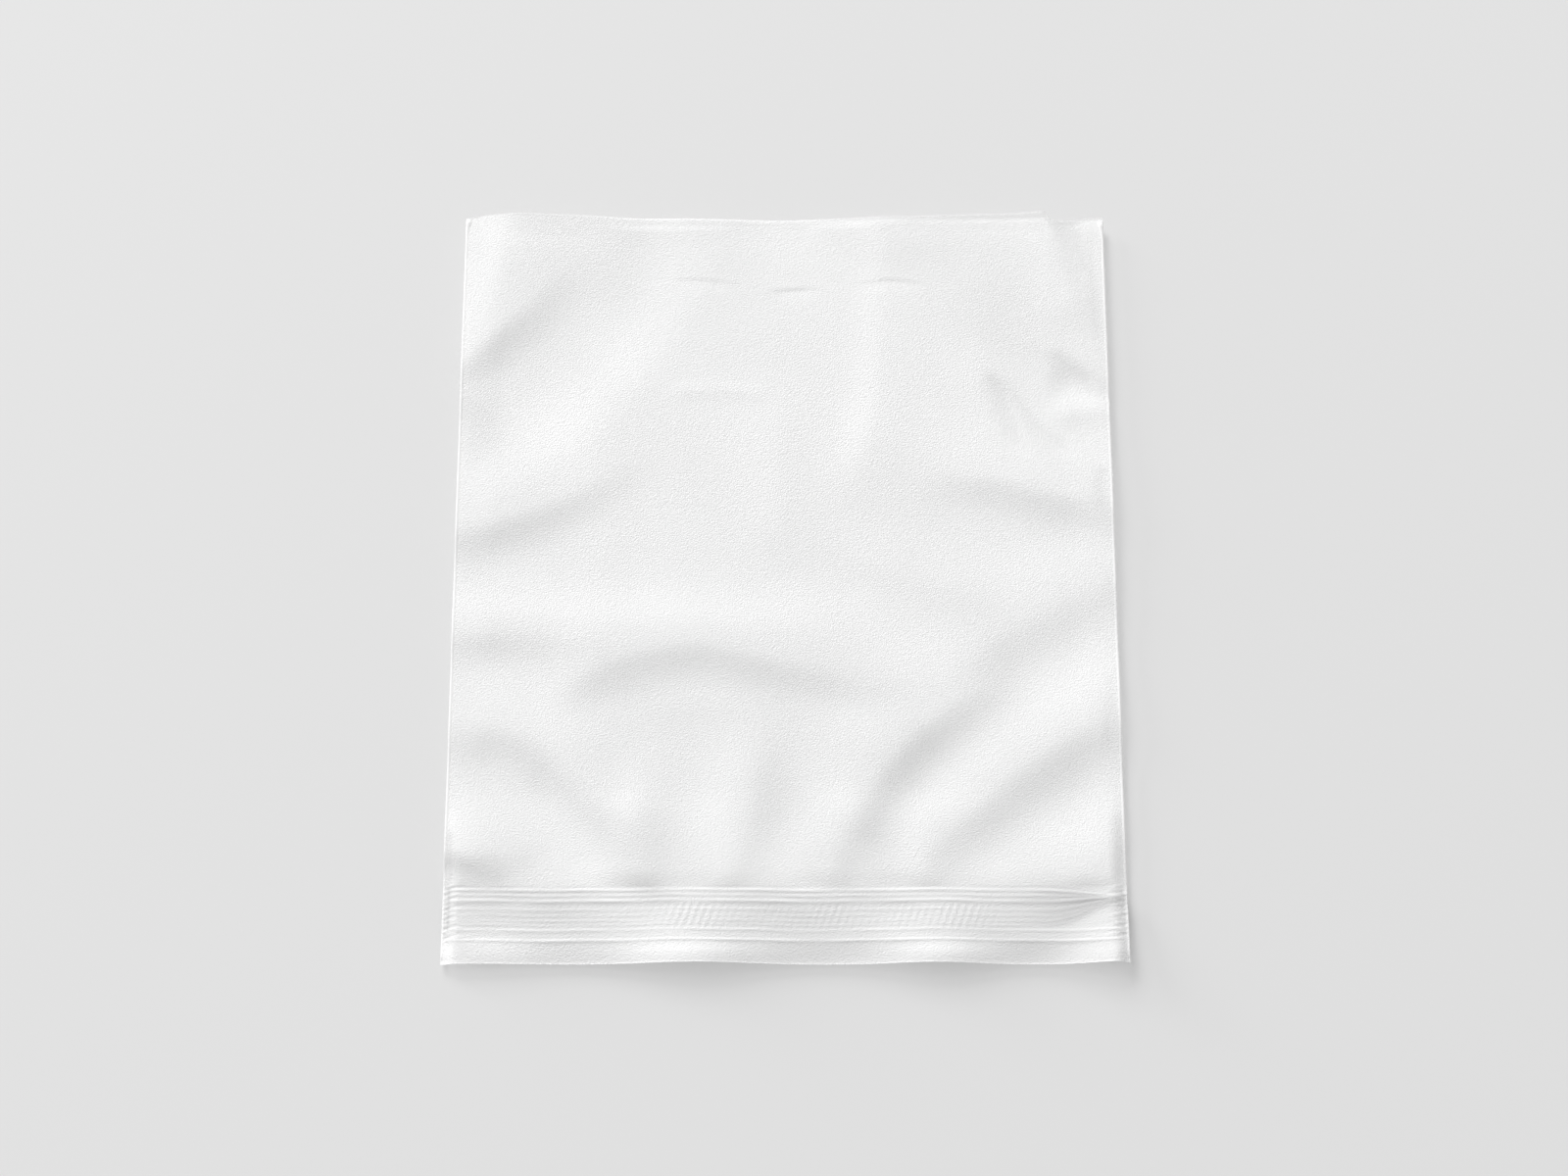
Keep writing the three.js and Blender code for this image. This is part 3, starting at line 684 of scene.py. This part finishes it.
def buildWeld(name, side, spec):
    half = filmSpec["length"] / 2
    edge = side * (filmSpec["width"] / 2 - spec["across"])
    angles = [2 * math.pi * i / spec["sides"] for i in range(spec["sides"])]
    points = [(spec["across"] * math.cos(a) * mm, spec["up"] * math.sin(a) * mm) for a in angles]
    start, run = (-half + spec["inset"]) * mm, (2 * half - spec["short"]) * mm
    weld = runSection(name, points, 1, start, run, spec["steps"])

    def follow(x, y, z):
        away = (half - spec["blobInset"] - y) / spec["blob"]
        blob = 1 + spec["blobSwell"] * np.exp(-(away**2))
        middle = backHeight(np.full(y.shape, edge), y) + filmSpec["beadHeight"] / 2
        shift = side * (blob - 1) * spec["blobShift"]
        return edge + x * blob - shift, y, np.maximum(middle + z * blob, spec["clear"])

    movePoints(weld, follow)
    bpy.ops.object.shade_smooth()
    return weld


# zip: two extruded halves, pressed together
zipSpec = {
    "width": 15.8,
    "flange": 0.2,
    "seat": 0.14,
    "ribs": 5,
    "ribPitch": 1.55,
    "ribHeight": 0.2,
    "firstRib": 2.0,
    "ribShape": [(0.4, 0.7), (0.75, 1.0), (1.1, 0.7)],  # place on the rib, share of its height
    "beadFrom": 0.4,
    "beadTo": 1.5,
    "beadSlope": 0.3,
    "beadHeight": 0.3,
    "trackMiddle": 13.3,
    "jawSpread": 0.95,
    "jawThickness": 0.45,
    "jawLength": 0.9,
    "barbReach": 0.25,
    "barbHeight": 0.35,
    "stem": 0.3,
    "head": 0.8,
    "headHeight": 0.6,
    "steps": 110,
    "reach": 98.6,
    "crushLength": 4.0,
}


def zipPoints(spec, hooked):
    flange = spec["flange"]
    bead = flange + spec["beadHeight"]
    points = [(0, 0), (0, flange), (spec["beadFrom"], flange)]
    points += [(spec["beadFrom"] + spec["beadSlope"], bead), (spec["beadTo"] - spec["beadSlope"], bead)]
    points.append((spec["beadTo"], flange))
    for i in range(spec["ribs"]):
        start = spec["firstRib"] + i * spec["ribPitch"]
        points.append((start, flange))
        points += [(start + at, flange + high * spec["ribHeight"]) for at, high in spec["ribShape"]]
    points.append((spec["firstRib"] + spec["ribs"] * spec["ribPitch"], flange))
    middle = spec["trackMiddle"]
    tip = flange + spec["jawLength"]
    if hooked:
        inside, outside = spec["jawSpread"], spec["jawSpread"] + spec["jawThickness"]
        barb, under = -inside + spec["barbReach"], tip - spec["barbHeight"]
        jaw = [(-outside, flange), (-outside, tip - 0.2), (-inside - 0.1, tip), (barb, tip - 0.1)]
        jaw += [(barb, under), (-inside, under), (-inside, flange)]
    else:
        stem, under = spec["stem"], tip - spec["headHeight"]
        jaw = [(-stem, flange), (-stem, under), (-spec["head"], under), (-stem * 0.8, tip)]
    points += [(middle + across, up) for across, up in jaw]
    points += [(middle - across, up) for across, up in reversed(jaw)]
    points += [(spec["width"], flange), (spec["width"], 0)]
    return points


def buildZip(name, hooked, spec):
    points = [(across * mm, up * mm) for across, up in zipPoints(spec, hooked)]
    strip = runSection(name, points, 0, -spec["reach"] * mm, 2 * spec["reach"] * mm, spec["steps"])

    def follow(x, across, up):
        y = filmSpec["zipLow"] + across
        side = filmSpec["width"] / 2 - np.abs(x)
        squash = 0.12 + 0.88 * smoothStep(0.5, spec["crushLength"], side)
        room = filmSpec["zipGap"] + filmSpec["beadHeight"] - 2 * spec["seat"]
        return x, y, mouthLift(x, y) + (room - up if hooked else up) * squash + spec["seat"]

    movePoints(strip, follow)
    bpy.ops.object.mode_set(mode="EDIT")
    bpy.ops.mesh.select_all(action="SELECT")
    bpy.ops.mesh.normals_make_consistent(inside=False)
    bpy.ops.object.mode_set(mode="OBJECT")
    bpy.ops.object.shade_smooth_by_angle(angle=math.radians(40))
    return strip


# finish: milky film that lets the lamp through, and clearer zip plastic
plasticSpec = {
    "film": {"color": 0.952, "alpha": 0.37, "rough": 0.4, "shade": 0.24, "grain": 0.26},
    "weld": {"color": 0.97, "alpha": 0.7, "rough": 0.3, "shade": 0.5, "grain": 0.0},
    "zip": {"color": 0.84, "alpha": 0.4, "rough": 0.16, "shade": 0.4, "grain": 0.0},
}
textureSpec = {
    "cloudScale": 60,
    "cloudTint": 0.015,
    "shadeColor": 0.4,
    "highlightAlpha": 0.9,
    "grainScale": 2200,
    "strokeLean": 20,
    "strokeScale": 150,
    "strokeBend": 0.5,
    "strokeHeight": 0.1 * mm,
}


def plasticMaterial(name, spec):
    material, nodes, links, shader = simpleMaterial(name)
    shader.inputs["Roughness"].default_value = spec["rough"]
    shader.inputs["Alpha"].default_value = spec["alpha"]
    place = nodes.new("ShaderNodeTexCoord")

    # base colour: a faint cloud, mixed towards grey where shade is painted
    cloud = nodes.new("ShaderNodeTexNoise")
    cloud.inputs["Scale"].default_value = textureSpec["cloudScale"]
    cloud.inputs["Detail"].default_value = 3
    links.new(place.outputs["Object"], cloud.inputs["Vector"])
    tint = nodes.new("ShaderNodeMix")
    tint.data_type = "RGBA"
    tint.inputs["A"].default_value = grey(spec["color"] - textureSpec["cloudTint"])
    tint.inputs["B"].default_value = grey(spec["color"] + textureSpec["cloudTint"])
    links.new(cloud.outputs["Fac"], tint.inputs["Factor"])
    paintedShadeInput = nodes.new("ShaderNodeAttribute")
    paintedShadeInput.attribute_name = "paintedShadeMark"
    paintedShade = nodes.new("ShaderNodeMix")
    paintedShade.data_type = "RGBA"
    paintedShade.inputs["B"].default_value = grey(textureSpec["shadeColor"])
    links.new(paintedShadeInput.outputs["Fac"], paintedShade.inputs["Factor"])
    links.new(tint.outputs["Result"], paintedShade.inputs["A"])
    links.new(paintedShade.outputs["Result"], shader.inputs["Base Color"])

    # painted light and shade: more opaque and whiter where a highlight is painted, clearer where shade
    # is painted
    paintedLight = nodes.new("ShaderNodeAttribute")
    paintedLight.attribute_name = "paintedLightMark"
    lightToAlpha = nodes.new("ShaderNodeMapRange")
    lightToAlpha.clamp = False
    lightToAlpha.inputs["To Min"].default_value = spec["alpha"]
    lightToAlpha.inputs["To Max"].default_value = textureSpec["highlightAlpha"]
    links.new(paintedLight.outputs["Fac"], lightToAlpha.inputs["Value"])
    links.new(lightToAlpha.outputs["Result"], shader.inputs["Alpha"])

    # fine grain, and strokes where the zip's ribs show through
    if spec["grain"]:
        grain = nodes.new("ShaderNodeTexNoise")
        grain.inputs["Scale"].default_value = textureSpec["grainScale"]
        grain.inputs["Detail"].default_value = 2
        links.new(place.outputs["Object"], grain.inputs["Vector"])
        bump = nodes.new("ShaderNodeBump")
        bump.inputs["Distance"].default_value = spec["grain"] * mm
        links.new(grain.outputs["Fac"], bump.inputs["Height"])
        lean = nodes.new("ShaderNodeMapping")
        lean.inputs["Rotation"].default_value = (0, 0, math.radians(textureSpec["strokeLean"]))
        links.new(place.outputs["Object"], lean.inputs["Vector"])
        weave = nodes.new("ShaderNodeTexWave")
        weave.inputs["Scale"].default_value = textureSpec["strokeScale"]
        weave.inputs["Distortion"].default_value = textureSpec["strokeBend"]
        links.new(lean.outputs["Vector"], weave.inputs["Vector"])
        stroke = nodes.new("ShaderNodeAttribute")
        stroke.attribute_name = "zipStroke"
        pressed = nodes.new("ShaderNodeMath")
        pressed.operation = "MULTIPLY"
        links.new(weave.outputs["Fac"], pressed.inputs[0])
        links.new(stroke.outputs["Fac"], pressed.inputs[1])
        ripple = nodes.new("ShaderNodeBump")
        ripple.inputs["Distance"].default_value = textureSpec["strokeHeight"]
        links.new(pressed.outputs[0], ripple.inputs["Height"])
        links.new(bump.outputs["Normal"], ripple.inputs["Normal"])
        links.new(ripple.outputs["Normal"], shader.inputs["Normal"])

    # lamp light and light from the floor pass through most of it
    clear = nodes.new("ShaderNodeBsdfTransparent")
    path = nodes.new("ShaderNodeLightPath")
    through = nodes.new("ShaderNodeMath")
    through.operation = "MULTIPLY"
    through.inputs[1].default_value = 1 - spec["shade"]
    either = nodes.new("ShaderNodeMath")
    either.operation = "MAXIMUM"
    links.new(path.outputs["Is Shadow Ray"], either.inputs[0])
    links.new(path.outputs["Is Diffuse Ray"], either.inputs[1])
    links.new(either.outputs[0], through.inputs[0])
    mix = nodes.new("ShaderNodeMixShader")
    links.new(through.outputs[0], mix.inputs["Fac"])
    links.new(shader.outputs["BSDF"], mix.inputs[1])
    links.new(clear.outputs["BSDF"], mix.inputs[2])
    links.new(mix.outputs["Shader"], nodes["Material Output"].inputs["Surface"])
    return material


filmPlastic = plasticMaterial("milkyFilm", plasticSpec["film"])
weldPlastic = plasticMaterial("weldBead", plasticSpec["weld"])
zipPlastic = plasticMaterial("zipPlastic", plasticSpec["zip"])

film = buildFilm(filmSpec)
finishPiece(film, filmPlastic, "bag_film")
for name, side in (("leftWeld", -1), ("rightWeld", 1)):
    weld = buildWeld(name, side, weldSpec)
    finishPiece(weld, weldPlastic, "bag_film")
strips = (("hookStrip", True, "zip_hook_strip"), ("ribStrip", False, "zip_rib_strip"))
for name, hooked, node in strips:
    finishPiece(buildZip(name, hooked, zipSpec), zipPlastic, node)
